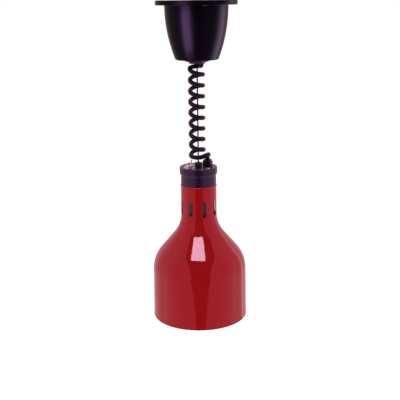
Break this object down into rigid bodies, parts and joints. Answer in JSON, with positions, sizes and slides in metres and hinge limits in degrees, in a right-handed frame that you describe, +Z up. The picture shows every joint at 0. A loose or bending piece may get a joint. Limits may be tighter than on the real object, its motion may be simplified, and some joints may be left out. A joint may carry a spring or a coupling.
{
  "type": "ceiling-mounted heat lamp",
  "caption": "Rise-and-fall heat lamp: black ceiling canopy with a rope reel, curly cord round the rope, capped red bottle-shaped shade with a toggle switch.",
  "frame": {"origin": "centre of the canopy's flat top face, where it meets the ceiling", "axes": "+Z up into the ceiling; the front of the lamp, where its cap screw and switch show, faces -Y; +X to the right"},
  "size_m": [0.1756, 0.1756, 0.576],
  "materials": {
    "black_gloss": "gloss black moulding",
    "black_enamel": "gloss black enamel on pressed steel",
    "red_enamel": "gloss red enamel on spun aluminium",
    "steel": "zinc-plated steel",
    "spring_steel": "blued spring steel",
    "chrome": "polished chrome",
    "brass": "drawn brass",
    "rope": "black sheath on a steel wire rope",
    "cord": "black rubber cord",
    "lead": "silicone lead insulation",
    "white_nylon": "natural nylon",
    "ceramic": "glazed ceramic",
    "clear_glass": "clear hard glass",
    "black_glass": "black vitrite glass",
    "tungsten": "tungsten wire",
    "black_rubber": "black rubber"
  },
  "bodies": {
    "canopy": {"ceiling_plate": "steel", "inlet_bush": "black_rubber", "canopy_cover": "black_enamel", "cover_screws": "chrome", "reel_bracket": "steel", "bracket_screws": "steel", "reel_axle": "steel", "axle_clip": "spring_steel", "thrust_washers": "white_nylon", "rope_nozzle": "black_gloss", "nozzle_nut": "black_gloss", "wiring_carrier": "steel", "carrier_screws": "steel", "terminal_block": "white_nylon", "terminal_screws": "brass", "cord_clamp": "white_nylon", "clamp_screws": "steel", "cord_tail": "cord", "cord_cores": "lead", "coil_cord": "cord", "wire_rope": "rope"},
    "drum": {"rope_drum": "white_nylon", "spring_cover": "steel", "mainspring": "spring_steel", "rope_winding": "rope"},
    "lamp_head": {"cap": "black_gloss", "cap_screws": "chrome", "rope_anchor": "black_gloss", "anchor_nut": "steel", "rope_ferrule": "brass", "rope_tail": "rope", "gland_body": "black_gloss", "gland_nut": "black_gloss", "gland_locknut": "black_gloss", "inner_cord": "cord", "holder_leads": "lead", "switch_body": "black_gloss", "switch_bushing": "chrome", "switch_plate": "chrome", "switch_nut": "chrome", "switch_terminals": "brass", "shade": "red_enamel", "holder_bridge": "steel", "holder_nipple": "steel", "nipple_nut": "steel", "lampholder": "ceramic", "holder_shell": "brass", "holder_contact": "brass", "bulb_glass": "clear_glass", "bulb_cap": "brass", "bulb_insulator": "black_glass", "bulb_tip": "brass", "bulb_stem": "clear_glass", "bulb_filament": "tungsten"},
    "lever": {"toggle_lever": "chrome"}
  },
  "joints": [
    {"name": "height", "type": "slide", "parent": "canopy", "child": "lamp_head", "axis": [0, 0, -1], "range_m": [-0.09, 0.4], "deforming": ["coil_cord", "wire_rope"]},
    {"name": "drum_spin", "type": "hinge", "parent": "canopy", "child": "drum", "pos_m": [-0.02, 0, -0.044], "axis": [0, 1, 0], "range_deg": [-260, 1150]},
    {"name": "switch_toggle", "type": "hinge", "parent": "lamp_head", "child": "lever", "pos_m": [-0.015, -0.009, -0.2909], "axis": [0, 1, 0], "range_deg": [-26, 0]}
  ],
  "couplings": [
    {"joint": "drum_spin", "follows": "height", "rad_per_m": 50}
  ]
}
